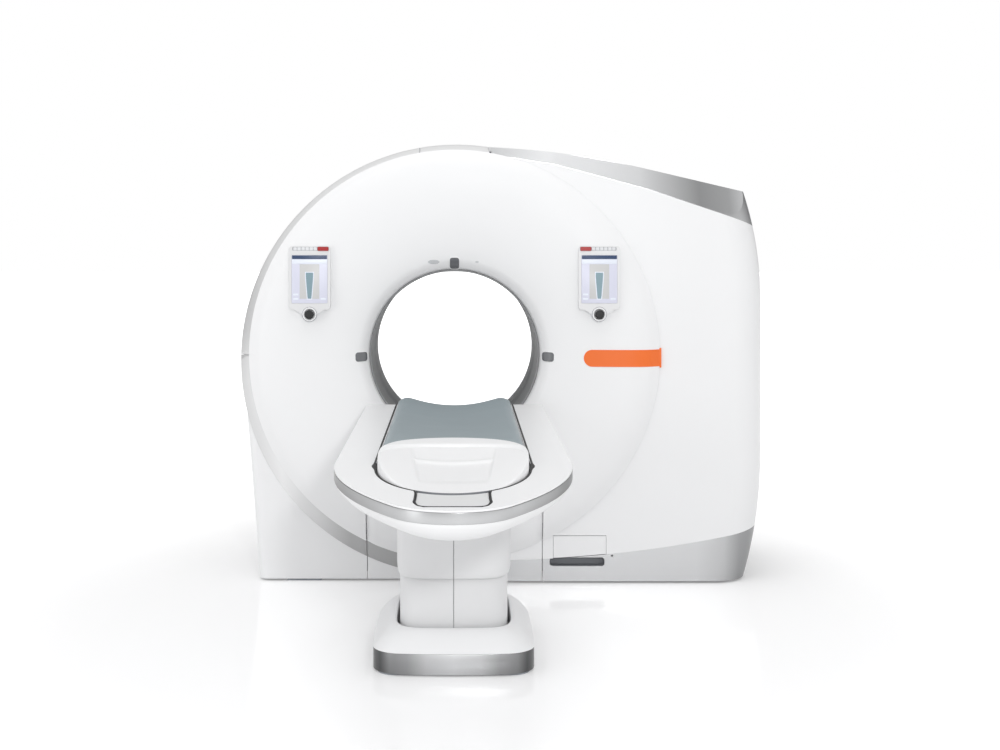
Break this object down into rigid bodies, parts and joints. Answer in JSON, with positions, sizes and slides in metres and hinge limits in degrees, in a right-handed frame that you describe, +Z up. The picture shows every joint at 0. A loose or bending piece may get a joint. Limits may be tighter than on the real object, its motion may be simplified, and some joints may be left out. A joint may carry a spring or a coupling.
{
  "type": "ct scanner",
  "caption": "Whole-body CT scanner: ring-fronted gantry with a rotating X-ray system inside its covers, and a patient table with lifting column and sliding cradle.",
  "frame": {"origin": "on the floor, in the scan plane under the rotation axis, at the centre of the gantry's four floor anchors", "axes": "+Z up from the floor, +Y along the rotation axis from the table into the bore and out of the gantry's rear, +X to the right of someone who stands at the table's foot and looks at the gantry"},
  "size_m": [2.436, 3.466, 2.026],
  "materials": {
    "white_cover": "satin",
    "silver_band": "satin",
    "grey_plastic": "matt",
    "window_film": "matt",
    "painted_steel": "matt",
    "machined_steel": "machined",
    "cast_metal": "machined",
    "dark_metal": "matt",
    "copper": "machined",
    "screen_glass": "polished",
    "stop_red": "satin",
    "black_plastic": "matt",
    "carbon_board": "satin",
    "grey_vinyl": "satin"
  },
  "bodies": {
    "gantry": {"base_frame": "painted_steel", "stator_ring": "painted_steel", "bearing_outer_race": "machined_steel", "motor_coils": "dark_metal", "brush_block": "grey_plastic", "ring_cover": "white_cover", "lower_front_panel": "white_cover", "left_side_cover": "white_cover", "right_side_cover": "white_cover", "top_cover": "white_cover", "rear_cover": "white_cover", "rear_funnel": "white_cover", "tunnel_liners": "grey_plastic", "scan_window": "window_film", "band_upper_left": "silver_band", "band_lower_left": "silver_band", "band_top": "silver_band", "panel_band": "silver_band", "top_trim": "silver_band", "skirt": "silver_band", "positioning_lasers": "screen_glass", "panel_housings": "white_cover", "screens": "screen_glass", "table_base_plate": "painted_steel", "plinth_band": "silver_band", "plinth_cover": "white_cover", "lower_column_covers": "white_cover", "column_outer_stage": "painted_steel", "lift_actuator": "machined_steel"},
    "rotor": {"rotor_drum": "cast_metal", "bearing_inner_race": "machined_steel", "motor_magnets": "dark_metal", "slip_ring": "copper", "xray_tubes": "painted_steel", "detectors": "painted_steel", "generators": "painted_steel", "rotor_cooler": "painted_steel"},
    "column_middle": {"column_middle_stage": "painted_steel"},
    "table_top": {"lift_frame": "painted_steel", "lift_rod": "machined_steel", "upper_column_covers": "white_cover", "deck_cover": "white_cover", "deck_band": "silver_band", "deck_underside": "white_cover", "end_tab": "grey_plastic", "drive_belt": "black_plastic", "guide_rails": "cast_metal"},
    "belt_pulley": {"belt_pulley": "cast_metal"},
    "belt_idler": {"belt_idler": "cast_metal"},
    "cradle": {"cradle": "carbon_board", "mattress": "grey_vinyl", "carriage": "cast_metal", "foot_cap": "white_cover"},
    "access_flap": {"access_flap": "white_cover"},
    "left_stop_button": {"left_stop_button": "stop_red"},
    "right_stop_button": {"right_stop_button": "stop_red"},
    "left_joystick_gimbal": {"left_joystick_gimbal": "cast_metal"},
    "left_joystick": {"left_joystick": "black_plastic"},
    "right_joystick_gimbal": {"right_joystick_gimbal": "cast_metal"},
    "right_joystick": {"right_joystick": "black_plastic"}
  },
  "joints": [
    {"name": "rotor_spin", "type": "hinge", "parent": "gantry", "child": "rotor", "pos_m": [0, 0, 1.056], "axis": [0, 1, 0], "continuous": true},
    {"name": "table_lift", "type": "slide", "parent": "gantry", "child": "table_top", "axis": [0, 0, 1], "range_m": [-0.265, 0.085]},
    {"name": "column_middle_slide", "type": "slide", "parent": "gantry", "child": "column_middle", "axis": [0, 0, 1], "range_m": [-0.1325, 0.0425]},
    {"name": "cradle_slide", "type": "slide", "parent": "table_top", "child": "cradle", "axis": [0, 1, 0], "range_m": [0, 1.5]},
    {"name": "belt_pulley_spin", "type": "hinge", "parent": "table_top", "child": "belt_pulley", "pos_m": [0, -2.23, 0.785], "axis": [-1, 0, 0], "range_deg": [0, 7600]},
    {"name": "belt_idler_spin", "type": "hinge", "parent": "table_top", "child": "belt_idler", "pos_m": [0, -0.52, 0.785], "axis": [-1, 0, 0], "range_deg": [0, 7600]},
    {"name": "flap_hinge", "type": "hinge", "parent": "gantry", "child": "access_flap", "pos_m": [0.5795, -0.396, 0.215], "axis": [-1, 0, 0], "range_deg": [0, 75]},
    {"name": "left_stop_press", "type": "slide", "parent": "gantry", "child": "left_stop_button", "axis": [0, 1, 0], "range_m": [0, 0.003], "stiffness_N_per_m": 1200},
    {"name": "left_stick_tilt", "type": "hinge", "parent": "gantry", "child": "left_joystick_gimbal", "pos_m": [-0.663, -0.46, 1.248], "axis": [1, 0, 0], "range_deg": [-12, 12], "stiffness_Nm_per_rad": 0.4},
    {"name": "left_stick_turn", "type": "hinge", "parent": "left_joystick_gimbal", "child": "left_joystick", "pos_m": [-0.663, -0.46, 1.248], "axis": [0, 0, 1], "range_deg": [-12, 12], "stiffness_Nm_per_rad": 0.4},
    {"name": "right_stop_press", "type": "slide", "parent": "gantry", "child": "right_stop_button", "axis": [0, 1, 0], "range_m": [0, 0.003], "stiffness_N_per_m": 1200},
    {"name": "right_stick_tilt", "type": "hinge", "parent": "gantry", "child": "right_joystick_gimbal", "pos_m": [0.663, -0.46, 1.248], "axis": [1, 0, 0], "range_deg": [-12, 12], "stiffness_Nm_per_rad": 0.4},
    {"name": "right_stick_turn", "type": "hinge", "parent": "right_joystick_gimbal", "child": "right_joystick", "pos_m": [0.663, -0.46, 1.248], "axis": [0, 0, 1], "range_deg": [-12, 12], "stiffness_Nm_per_rad": 0.4}
  ],
  "couplings": [
    {"joint": "column_middle_slide", "follows": "table_lift", "ratio": 0.5},
    {"joint": "belt_pulley_spin", "follows": "cradle_slide", "rad_per_m": 87.719},
    {"joint": "belt_idler_spin", "follows": "cradle_slide", "rad_per_m": 87.719}
  ]
}
